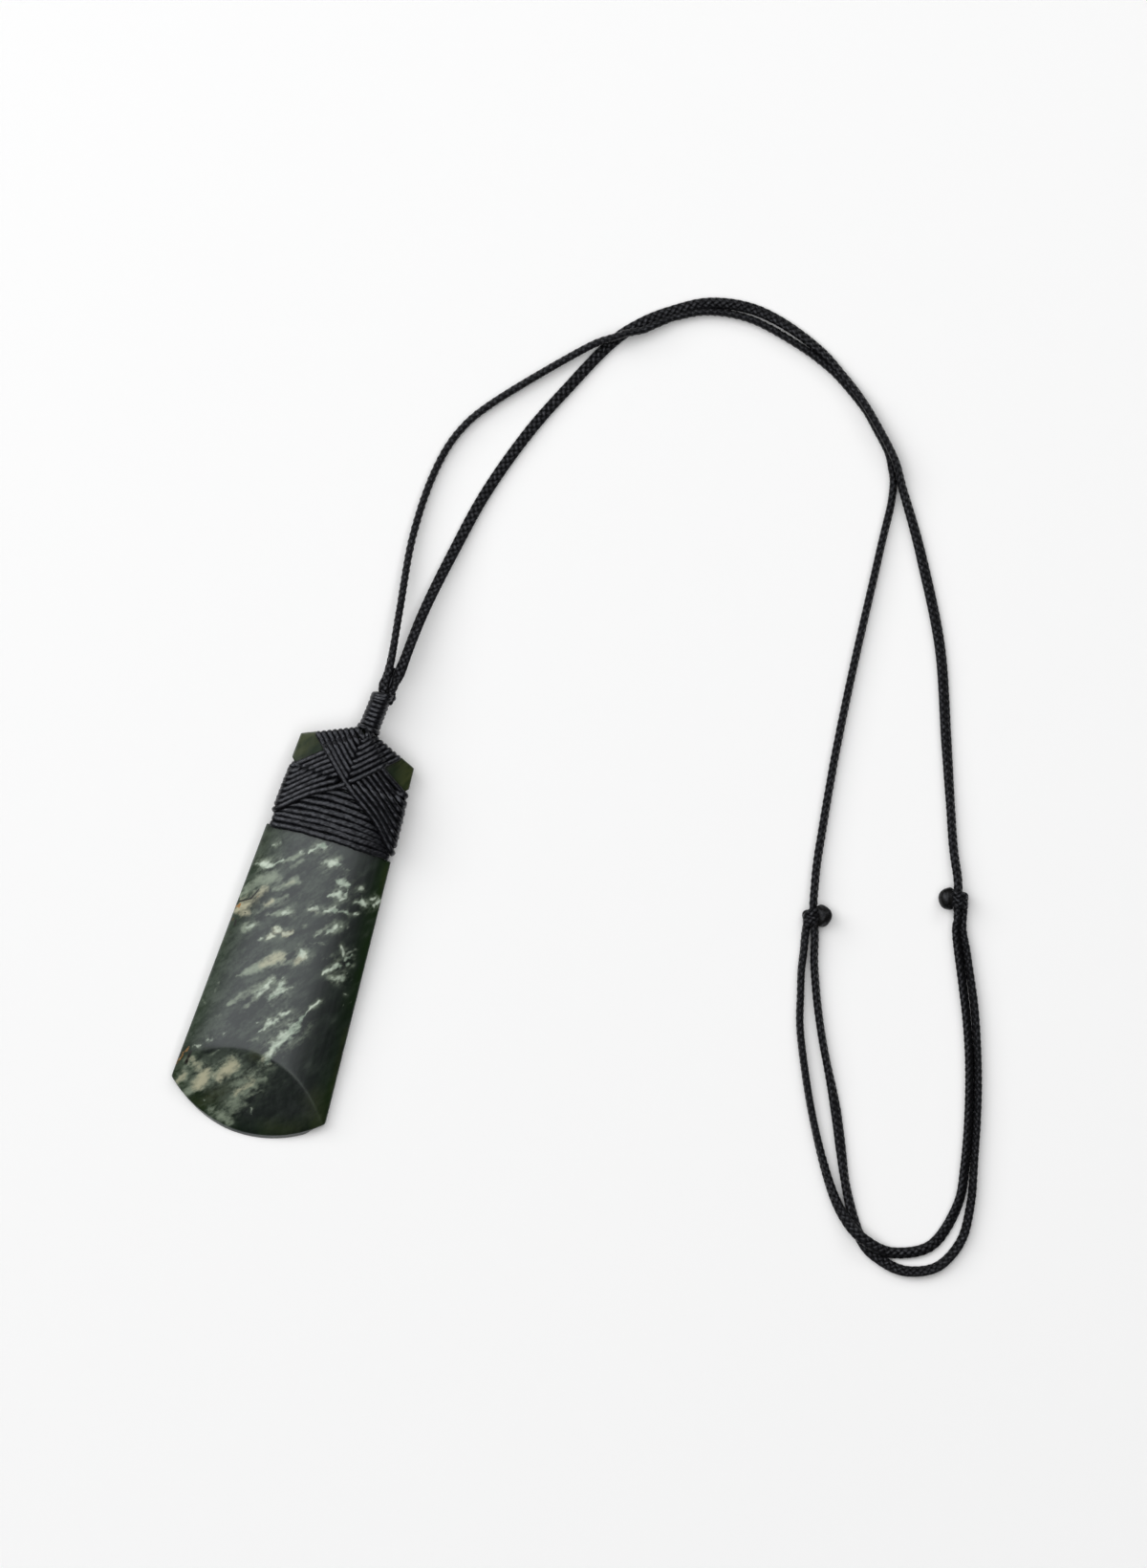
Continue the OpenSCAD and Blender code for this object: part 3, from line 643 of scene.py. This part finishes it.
def slanting_front(k, side):
    """The k-th slanting thread on the face, from the gable on one side to the notch on the other.
    side is -1 for those that start on the left."""
    f = k / 7
    if side < 0:
        start_x, foot_y, notch_top = -1.05 - 0.85 * k, 23.2 - 8.9 * f, 24.0
        knee = (4.8 + 1.3 * f, 26.0 - 8.5 * f)
    else:
        start_x, foot_y, notch_top = 0.55 + 0.88 * k, 22.4 - 7.4 * f, 23.4
        knee = (-5.2 - 0.2 * f, 25.7 - 7.2 * f)
    deep = NOTCH_D * smooth((notch_top - foot_y) / 1.2)
    foot_x = -side * (half_width(foot_y) - deep)
    keys = [(start_x, gable_y(start_x), 0), (*crossing_tip(k), 0), (*knee, 0), (foot_x, foot_y, 0)]
    return evenly(curve_through(keys, 12), 0.35)[:, :2]


def slanting_paths(side):
    """Eight threads from one side, laid by turns with those from the other side. The right hand one is first."""
    paths = []
    gable_normal = unit([side * GABLE_SLOPE, 1])
    for k in range(8):
        front = slanting_front(k, side)
        far = distances(np.column_stack([front, np.zeros(len(front))]))
        other = slanting_front(0, -side)
        gaps = norm(front[:, None] - other[None], axis=2).min(axis=1)
        first = far[np.argmin(gaps)]
        tip = far[np.argmin(norm(front - crossing_tip(k), axis=1))]
        last = tip + (0.5 if side < 0 else -0.45)
        over = smooth((far - first + 1.4) / 1.0) * smooth((last + 0.45 - far) / 0.9)
        on_belt = smooth((22.4 - front[:, 1]) / 0.9)
        bump = 0.03 * np.sin(far * 1.7 + k * 2.1 + side)
        heights = THREAD_R + LAYER * np.maximum(over, on_belt) + bump
        back = THREAD_R + LAYER * (0.5 if side < 0 else 0.2) + 0.25
        outer = 1.32 if side < 0 else 1.0
        walls = (0.2, 0.75 + (outer - 0.75) * min(1.0, k / 2))
        paths.append(round_the_stone(front, heights, gable_normal, [-side, 0], back, walls))
    return paths


def along_loop(line):
    return np.roll(line, -1, axis=0) - np.roll(line, 1, axis=0)


def thread_rings(line, out, closed, wide=THREAD_WIDE, thick=THREAD_THICK, lay=2.7, sides=12):
    """One waxed thread of three plies, flattened a little against what it lies on. out points away from it."""
    along = unit_rows(along_loop(line)) if closed else tangents(line)
    out = unit_rows(out - along * np.sum(out * along, axis=1)[:, None])
    beside = np.cross(along, out)
    far = distances(line)
    whole = far[-1] + (norm(line[0] - line[-1]) if closed else 0)
    turns = round(3 * whole / lay) / 3
    n = len(line)
    verts, painted_top_light, lie = [], [], []
    for k in range(sides):
        a = 2 * math.pi * k / sides
        c, s = math.cos(a), math.sin(a)
        square = (abs(c) ** 2.2 + abs(s) ** 2.2) ** (-1 / 2.2)
        ply = 1.5 * (a - 2 * math.pi * turns * far / whole)
        r = (square * (1 - 0.12 * (1 - np.abs(np.cos(ply))) ** 1.5))[:, None]
        verts.extend(line + beside * (r * c * wide / 2) + out * (r * s * thick / 2))
        # Painted light and shade: the side facing out is paler and shinier, the sides towards the stone and the
        # gaps darker.
        painted_top_light.extend([float(smooth((s + 0.2) / 0.85))] * n)
        lie.extend(np.column_stack([far, np.full(n, a * wide / 2), np.zeros(n)]))
    return verts, ring_faces(0, n, sides, closed), painted_top_light, lie


def thread_piece(name, lines, outs, closed, **shape):
    """Threads joined in one piece. Their tops are marked for painted top light, and their sides get less of it as
    painted shade.
    """
    verts, faces, painted_top_light, lie = [], [], [], []
    for i, (line, out) in enumerate(zip(lines, outs)):
        v, f, w, where = thread_rings(line, out, closed, **shape)
        faces.extend([[c + len(verts) for c in face] for face in f])
        verts.extend(v)
        painted_top_light.extend(w)
        lie.extend(np.array(where) + [0, 0, APART * i])
    return fibre_piece(name, verts, faces, painted_top_light, lie)


def away_from_loop(line):
    """For each point of a closed loop, the way out of it."""
    ring = line - line.mean(axis=0)
    normal = unit(np.cross(ring, np.roll(ring, -1, axis=0)).sum(axis=0))
    out = np.cross(along_loop(line), normal)
    return out if np.sum(out * ring) >= 0 else -out


def lashing(name, paths, wide=THREAD_WIDE):
    return thread_piece(name, paths, [away_from_loop(p) for p in paths], True, wide=wide)


def make_side_turns():
    """The turns packed between the slanting threads where they go round the sides of the stone."""
    lines, outs = [], []
    r = 0.6
    for side, first, pitch, off in ((-1, 21.87, 1.057, 0.9), (1, 22.5, 1.27, 1.2)):
        for k in range(7):
            y = first - pitch * k
            wall = half_width(y) - NOTCH_D
            high, low = crown_z(side * wall) + 0.45, SEAT_Z - 0.45
            far_x = wall + off - (0.3 if k == 0 else 0.0)
            corner = np.radians(np.linspace(0, 90, 6))
            bend = [(far_x - r + r * math.sin(a), r * math.cos(a) - r) for a in corner]
            half = [(wall - 1.3, high)] + [(bx, high + bz) for bx, bz in bend]
            turn = half + [(bx, high + low - bz) for bx, bz in reversed(half)]
            line = evenly(np.array([(side * bx, y + 0.25 * (bz - 3), bz) for bx, bz in turn]), THREAD_STEP)
            lines.append(line)
            outs.append(line - np.array([side * (wall - 1.3), y, (high + low) / 2]))
    return thread_piece("side_turns", lines, outs, False, wide=1.1)


# The neck

NECK_Z = 4.0


def coil(start, end, radii, turns, tilt=0.0, phase=0.0, height=(NECK_Z, NECK_Z)):
    """A coil round an axis, and the way out from it at each point. Its radius and height run evenly."""
    start, end = np.array(start, float), np.array(end, float)
    way = unit(end - start)
    across = np.array([way[1], -way[0]])
    f = np.linspace(0, 1, int(turns * 44) + 1)
    radius = radii[0] + (radii[1] - radii[0]) * f
    a = 2 * math.pi * turns * f + phase
    level = start + np.outer(f * norm(end - start) + tilt * np.cos(a), way)
    level = level + np.outer(radius * np.cos(a), across)
    line = np.column_stack([level, height[0] + (height[1] - height[0]) * f + radius * np.sin(a)])
    out = np.column_stack([np.outer(np.cos(a), across), np.sin(a)])
    return line, out


def make_neck():
    """The binding with its foot, stem, collar and side lump, a dark thread that fills the gap between the two
    cords above the collar, and the core that it is wound on.
    """
    foot = coil((0.6, 31.2), (0.68, 32.0), (1.75, 1.6), 1.0, tilt=0.2, phase=-1.6, height=(4.7, 4.2))
    stem = coil((0.68, 31.4), (1.1, 36.9), (1.48, 1.4), 6.8, tilt=0.2, phase=-1.0)
    collar = coil((1.2, 37.0), (1.32, 38.0), (1.52, 1.56), 2.1, tilt=0.55, phase=-0.4)
    lump = coil((2.6, 36.9), (2.85, 38.1), (0.42, 0.38), 1.4, tilt=0.1, phase=0.5)
    upward = [0.0, 0.0, 1.0]
    # A dark thread laid up between the two cords above the collar, filling the dark gap there.
    gap_filler_points = [(1.65, 37, 3.7), (1.75, 39, 3.5), (1.85, 41, 3.2), (2.0, 42.6, 2.9)]
    gap_filler = evenly(curve_through(gap_filler_points, 6), 0.15)
    between = (gap_filler, np.tile(upward, (len(gap_filler), 1)))
    lines, outs = zip(foot, stem, collar, lump, between)
    binding = thread_piece("neck_binding", lines, outs, False, wide=1.0, thick=0.74)
    core = evenly(curve_through([(0.7, 31.3, 4), (0.95, 34, 4), (1.1, 36.9, 4), (1.2, 37.5, 4)], 6), 0.4)
    core_out = np.tile(upward, (len(core), 1))
    inside = thread_piece("neck_core", [core], [core_out], False, wide=2.3, thick=2.3, lay=30)
    return [binding, inside]


# The knots

LEFT_KNOT = {"at": (80.9, 23.8), "turn": -69, "side": 1}
RIGHT_KNOT = {"at": (103.3, 33.9), "turn": -74, "side": -1}
KNOT_Z, KNOT_R = 1.68, 1.16


def knot_place(knot, u, v, z):
    """A point of a knot: u along the cord that slides in it, v across."""
    (x, y), a = knot["at"], math.radians(knot["turn"])
    return [x + u * math.cos(a) - v * math.sin(a), y + u * math.sin(a) + v * math.cos(a), z]


def make_knot(name, knot):
    """Two turns of braid round the other cord, and the melted end that leans on them."""
    turns = []
    for f in [i / 80 for i in range(81)]:
        a = 2 * math.pi * 1.6 * f - 0.35
        v = knot["side"] * (KNOT_R * math.cos(a) - 0.1)
        turns.append(knot_place(knot, 1.9 * f - 0.95, v, KNOT_Z + KNOT_R * math.sin(a)))
    line = evenly(np.array(turns), 0.1)
    a = math.radians(knot["turn"])
    axis = np.array([math.cos(a), math.sin(a), 0])
    arm = line - np.array([*knot["at"], KNOT_Z])
    arm -= axis * (arm @ axis)[:, None]
    body = braid_piece(name + "_turns", line, unit_rows(arm), 1.7, 0.98, lay=4.4)
    bpy.ops.mesh.primitive_uv_sphere_add(segments=40, ring_count=28, radius=1.1 * MM)
    blob = bpy.context.object
    blob.name = name + "_end"
    co = np.array([v.co[:] for v in blob.data.vertices]) / MM
    x, y, z = co.T
    x, y, z = co.T * (1 + 0.05 * np.sin(x * 3.1 + y * 2.2) + 0.04 * np.sin(y * 4.3 - z * 3.7))
    u = x * 1.72
    v = knot["side"] * (1.9 - 0.11 * u * u) + y * 1.3
    placed = np.array([knot_place(knot, *point) for point in zip(u - 0.1, v, 1.62 + z * 1.33)])
    blob.data.vertices.foreach_set("co", (placed * MM).ravel())
    blob.data.update()
    bpy.ops.object.shade_smooth()
    return [body, blob]


# Materials


def node(tree, kind, **settings):
    made = tree.nodes.new(kind)
    for key, value in settings.items():
        setattr(made, key, value)
    return made


def feed(tree, made, values):
    """Gives a node's inputs other nodes' outputs or plain values. A colour is given by three numbers."""
    for name, value in values.items():
        socket = made.inputs[name]
        if isinstance(value, bpy.types.NodeSocket):
            tree.links.new(value, socket)
        else:
            socket.default_value = (*value, 1) if socket.type == "RGBA" else value
    return made


def new_material(name):
    material = bpy.data.materials.new(name)
    material.use_nodes = True
    tree = material.node_tree
    tree.nodes.clear()
    out = tree.nodes.new("ShaderNodeOutputMaterial")
    shader = tree.nodes.new("ShaderNodeBsdfPrincipled")
    tree.links.new(shader.outputs["BSDF"], out.inputs["Surface"])
    return material, tree, shader


def mix_colours(tree, factor, a, b):
    return feed(tree, node(tree, "ShaderNodeMix", data_type="RGBA"), {0: factor, 6: a, 7: b}).outputs[2]


def maths(tree, operation, a, b=0.0, c=0.0):
    return feed(tree, node(tree, "ShaderNodeMath", operation=operation), {0: a, 1: b, 2: c}).outputs[0]


def noise(tree, vector, scale, detail=4.0, rough=0.55):
    made = node(tree, "ShaderNodeTexNoise")
    feed(tree, made, {"Vector": vector, "Scale": scale, "Detail": detail, "Roughness": rough})
    return made.outputs["Fac"]


def attribute(tree, name):
    return node(tree, "ShaderNodeAttribute", attribute_name=name, attribute_type="GEOMETRY")


def mask(tree, name):
    return attribute(tree, name).outputs["Fac"]


def step_between(tree, value, low, high):
    made = node(tree, "ShaderNodeMapRange", interpolation_type="SMOOTHSTEP")
    return feed(tree, made, {"Value": value, "From Min": low, "From Max": high}).outputs["Result"]


def add_bump(tree, shader, height, strength, deep):
    bump = feed(tree, node(tree, "ShaderNodeBump"), {"Strength": strength, "Distance": deep, "Height": height})
    feed(tree, shader, {"Normal": bump.outputs["Normal"]})


def drawn_out(tree, vector, angle, stretch):
    """A place drawn out along a direction on the face, given in degrees from +X."""
    mapping = node(tree, "ShaderNodeMapping", vector_type="TEXTURE")
    feed(tree, mapping, {"Vector": vector, "Rotation": (0, 0, math.radians(angle)), "Scale": (stretch, 1, 1)})
    return mapping.outputs["Vector"]


def grain_vector(tree, angle, stretch):
    return drawn_out(tree, node(tree, "ShaderNodeTexCoord").outputs["Object"], angle, stretch)


def broken_up(tree, name, amounts, low, high):
    """A painted mask whose edge is broken up by noises, each with its amount."""
    painted = mask(tree, name)
    value = painted
    for source, amount in amounts:
        value = maths(tree, "MULTIPLY_ADD", maths(tree, "SUBTRACT", source, 0.5), amount, value)
    return maths(tree, "MULTIPLY", step_between(tree, value, low, high), step_between(tree, painted, 0.03, 0.3))


def stone_material():
    material, tree, shader = new_material("polished_nephrite")

    def times(a, b):
        return maths(tree, "MULTIPLY", a, b)

    def step(value, low, high):
        return step_between(tree, value, low, high)

    streak = noise(tree, grain_vector(tree, 52, 3.0), 620, 5, 0.6)
    fine = noise(tree, grain_vector(tree, 52, 1.8), 2300, 4, 0.6)
    broad = noise(tree, grain_vector(tree, 60, 1.6), 170, 3, 0.5)
    rubbed = noise(tree, grain_vector(tree, 92, 16), 1500, 3, 0.6)
    # This mask holds the stone's haze together with the painted sheen on the left of the face.
    haze_and_sheen = broken_up(tree, "haze_and_sheen", ((streak, 1.6), (fine, 0.9)), 0.1, 0.75)
    wisps = times(step(streak, 0.52, 0.75), step(broad, 0.42, 0.62))
    ridge_highlight = times(mask(tree, "painted_ridge_highlight"), step(broad, 0.3, 0.7))
    pale = mix_colours(tree, step(streak, 0.35, 0.6), (0.25, 0.32, 0.245), (0.5, 0.57, 0.47))
    body = mix_colours(tree, step(streak, 0.35, 0.72), (0.004, 0.0065, 0.005), (0.013, 0.019, 0.014))
    for cover, colour in (
        # painted shade: dark green along the margin
        (times(mask(tree, "painted_shade_margin"), step(broad, 0.25, 0.65)), (0.009, 0.02, 0.006)),
        (times(mask(tree, "olive"), step(streak, 0.25, 0.6)), (0.038, 0.046, 0.016)),
        (times(haze_and_sheen, mask(tree, "haze_and_sheen")), (0.085, 0.108, 0.08)),
        (times(wisps, 0.5), (0.05, 0.062, 0.048)),
        (times(broken_up(tree, "cloud", ((streak, 1.9), (fine, 0.75)), 0.0, 0.95), 0.95), (0.21, 0.25, 0.185)),
        (broken_up(tree, "cream", ((streak, 1.9), (fine, 0.7)), 0.05, 1.1), (0.41, 0.395, 0.27)),
        (broken_up(tree, "rust", ((fine, 1.2),), 0.35, 0.9), (0.3, 0.15, 0.045)),
        (broken_up(tree, "fleck", ((streak, 1.1), (fine, 1.0)), 0.22, 1.0), pale),
        # painted highlight along the ridge
        (times(ridge_highlight, 0.12), (0.2, 0.25, 0.17)),
        (broken_up(tree, "crack", ((fine, 0.8),), 0.3, 0.8), (0.01, 0.008, 0.006)),
    ):
        body = mix_colours(tree, cover, body, colour)
    rough = maths(tree, "MULTIPLY_ADD", step(rubbed, 0.3, 0.7), 0.08, 0.29)
    # Less shine over the painted shade margin.
    shine = maths(tree, "MULTIPLY_ADD", mask(tree, "painted_shade_margin"), -0.36, 0.42)
    # Extra shine along the rim, a painted highlight.
    shine = maths(tree, "MULTIPLY_ADD", mask(tree, "rim"), 0.6, shine)
    shine = maths(tree, "MULTIPLY_ADD", step(rubbed, 0.25, 0.75), 0.06, shine)
    feed(tree, shader, {"Base Color": body, "Roughness": rough, "IOR": 1.62})
    feed(tree, shader, {"Specular IOR Level": shine, "Specular Tint": (0.92, 0.97, 1.0)})
    add_bump(tree, shader, maths(tree, "ADD", rubbed, fine), 0.1, 0.00004)
    return material


def fibre_group():
    """Waxed fibres of thread and cord: colour, roughness, shine and height. One input says where the tops are,
    which are painted paler and shinier as top light, and the sides and gaps darker as shade.
    """
    group = bpy.data.node_groups.new("waxed_fibre", "ShaderNodeTree")
    wanted = {"Vector": "Vector", "Top_light": "Float", "Dark": "Color", "Pale": "Color", "Gloss": "Float"}
    given = {"Color": "Color", "Roughness": "Float", "Shine": "Float", "Height": "Float"}
    for way, sockets in (("INPUT", wanted), ("OUTPUT", given)):
        for name, kind in sockets.items():
            group.interface.new_socket(name, in_out=way, socket_type="NodeSocket" + kind)
    enter, leave = node(group, "NodeGroupInput").outputs, node(group, "NodeGroupOutput")
    fibres = noise(group, drawn_out(group, enter["Vector"], 24, 2.6), 5.5, 3, 0.6)
    patches = noise(group, enter["Vector"], 1.3, 3)
    both = maths(group, "MULTIPLY_ADD", patches, 0.45, maths(group, "MULTIPLY", fibres, 0.55))
    mottle = step_between(group, both, 0.38, 0.6)
    # Painted top light: the tops are paler and shinier, the sides and gaps darker.
    pale = maths(group, "MULTIPLY", mottle, enter["Top_light"])
    shine = maths(group, "MULTIPLY", maths(group, "MULTIPLY_ADD", mottle, 0.6, 0.4), enter["Top_light"])
    results = {
        "Color": mix_colours(group, pale, enter["Dark"], enter["Pale"]),
        "Roughness": maths(group, "MULTIPLY_ADD", mottle, -0.08, 0.36),
        "Shine": maths(group, "MULTIPLY", shine, enter["Gloss"]),
        "Height": fibres,
    }
    feed(group, leave, results)


def fibre_material(name, dark, pale, gloss, strength, marked=True):
    """marked tells that the pieces say where their painted top light falls; others get it all over."""
    material, tree, shader = new_material(name)
    fibre = node(tree, "ShaderNodeGroup", node_tree=bpy.data.node_groups["waxed_fibre"])
    if marked:
        painted_top_light, where = mask(tree, "painted_top_light"), attribute(tree, "lie").outputs["Vector"]
    else:
        place = node(tree, "ShaderNodeTexCoord").outputs["Object"]
        larger = feed(tree, node(tree, "ShaderNodeVectorMath", operation="SCALE"), {0: place, "Scale": 1 / MM})
        # Unmarked pieces get the painted top light all over.
        painted_top_light, where = 1.0, larger.outputs[0]
    feed(tree, fibre, {"Dark": dark, "Pale": pale, "Gloss": gloss, "Top_light": painted_top_light, "Vector": where})
    out = fibre.outputs
    feed(tree, shader, {"Base Color": out["Color"], "Roughness": out["Roughness"]})
    feed(tree, shader, {"Specular IOR Level": out["Shine"], "Specular Tint": (0.88, 0.91, 1.0)})
    add_bump(tree, shader, out["Height"], strength, 0.00006)
    return material


def floor_material():
    material, tree, shader = new_material("pale_floor")
    feed(tree, shader, {"Base Color": (0.93, 0.93, 0.93), "Roughness": 0.9, "Specular IOR Level": 0.1})
    return material


def dress(piece, material, slot, *replaced):
    piece.data.materials.clear()
    piece.data.materials.append(material)
    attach(piece, "root")
    if replaced:
        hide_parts(*replaced)


# The floor and the light


def add_floor():
    bpy.ops.mesh.primitive_plane_add(size=4, location=(0.04, 0.03, 0))
    floor = bpy.context.object
    floor.name = "floor"
    floor.data.materials.append(floor_material())


def add_light(name, place, size, power, aim=(0.02, 0.0, 0.0)):
    data = bpy.data.lights.new(name, "AREA")
    data.shape = "RECTANGLE"
    data.size, data.size_y = size
    data.energy = power
    lamp = put_in(name, data)
    lamp.location = place
    lamp.rotation_euler = (Vector(place) - Vector(aim)).to_track_quat("Z", "Y").to_euler()


def add_lights():
    add_light("top_softbox", (-0.126, 0.28, 2.1), (2.38, 2.66), 38.6, aim=(-0.126, 0.28, 0.0))
    add_light("key_softbox", (-1.56, 0.43, 1.25), (1.5, 1.5), 22.5)
    add_light("far_softbox", (0.5, 2.05, 1.68), (1.6, 0.84), 10.4)
    world = bpy.data.worlds.new("studio")
    bpy.context.scene.world = world
    world.use_nodes = True
    tree = world.node_tree
    feed(tree, tree.nodes["Background"], {"Color": (1, 1, 1), "Strength": 0.06})
    bpy.context.scene.view_settings.view_transform = "Standard"


# The making

add_camera()
left_cord = make_cord(
    "cord_left", LEFT_ROUTE, LEFT_TURN, LEFT_ASIDE, root=[(1.55, 37.1, 3.9)], tail=[(104.4, 33.5, 1.7)]
)
right_cord = make_cord(
    "cord_right", RIGHT_ROUTE, RIGHT_TURN, RIGHT_ASIDE, root=[(2.2, 37.1, 3.9)], tail=[(80.6, 23.0, 1.7)],
    lift=RIGHT_LIFT,
)
left_knot = make_knot("knot_left", LEFT_KNOT)
right_knot = make_knot("knot_right", RIGHT_KNOT)
stone = make_stone()
belt = lashing("belt_threads", belt_paths(), 1.24)
slant_left = lashing("slanting_threads_left", slanting_paths(-1), 1.02)
slant_right = lashing("slanting_threads_right", slanting_paths(1), 1.0)
side_turns = make_side_turns()
neck = make_neck()

fibre_group()
thread_black = fibre_material("waxed_thread", (0.0012, 0.0012, 0.0015), (0.004, 0.004, 0.0055), 0.58, 0.4)
cord_black = fibre_material("waxed_braid", (0.005, 0.005, 0.0055), (0.013, 0.013, 0.0145), 0.5, 0.4)
melted = fibre_material("melted_cord", (0.003, 0.003, 0.003), (0.009, 0.0085, 0.008), 0.25, 0.3, False)

dress(stone, stone_material(), "stone", "toki_blade")
dress(belt, thread_black, "thread", "belt_wraps")
dress(slant_left, thread_black, "thread", "cross_wraps_left")
dress(slant_right, thread_black, "thread", "cross_wraps_right")
dress(neck[0], thread_black, "thread", "neck_whipping")
dress(side_turns, thread_black, "thread")
dress(neck[1], thread_black, "thread")
dress(left_cord[0], cord_black, "cord", "left_cord")
dress(right_cord[0], cord_black, "cord", "right_cord")
dress(left_knot[0], cord_black, "cord", "left_knot")
dress(left_knot[1], melted, "cord")
dress(right_knot[0], cord_black, "cord", "right_knot")
dress(right_knot[1], melted, "cord")

add_floor()
add_lights()
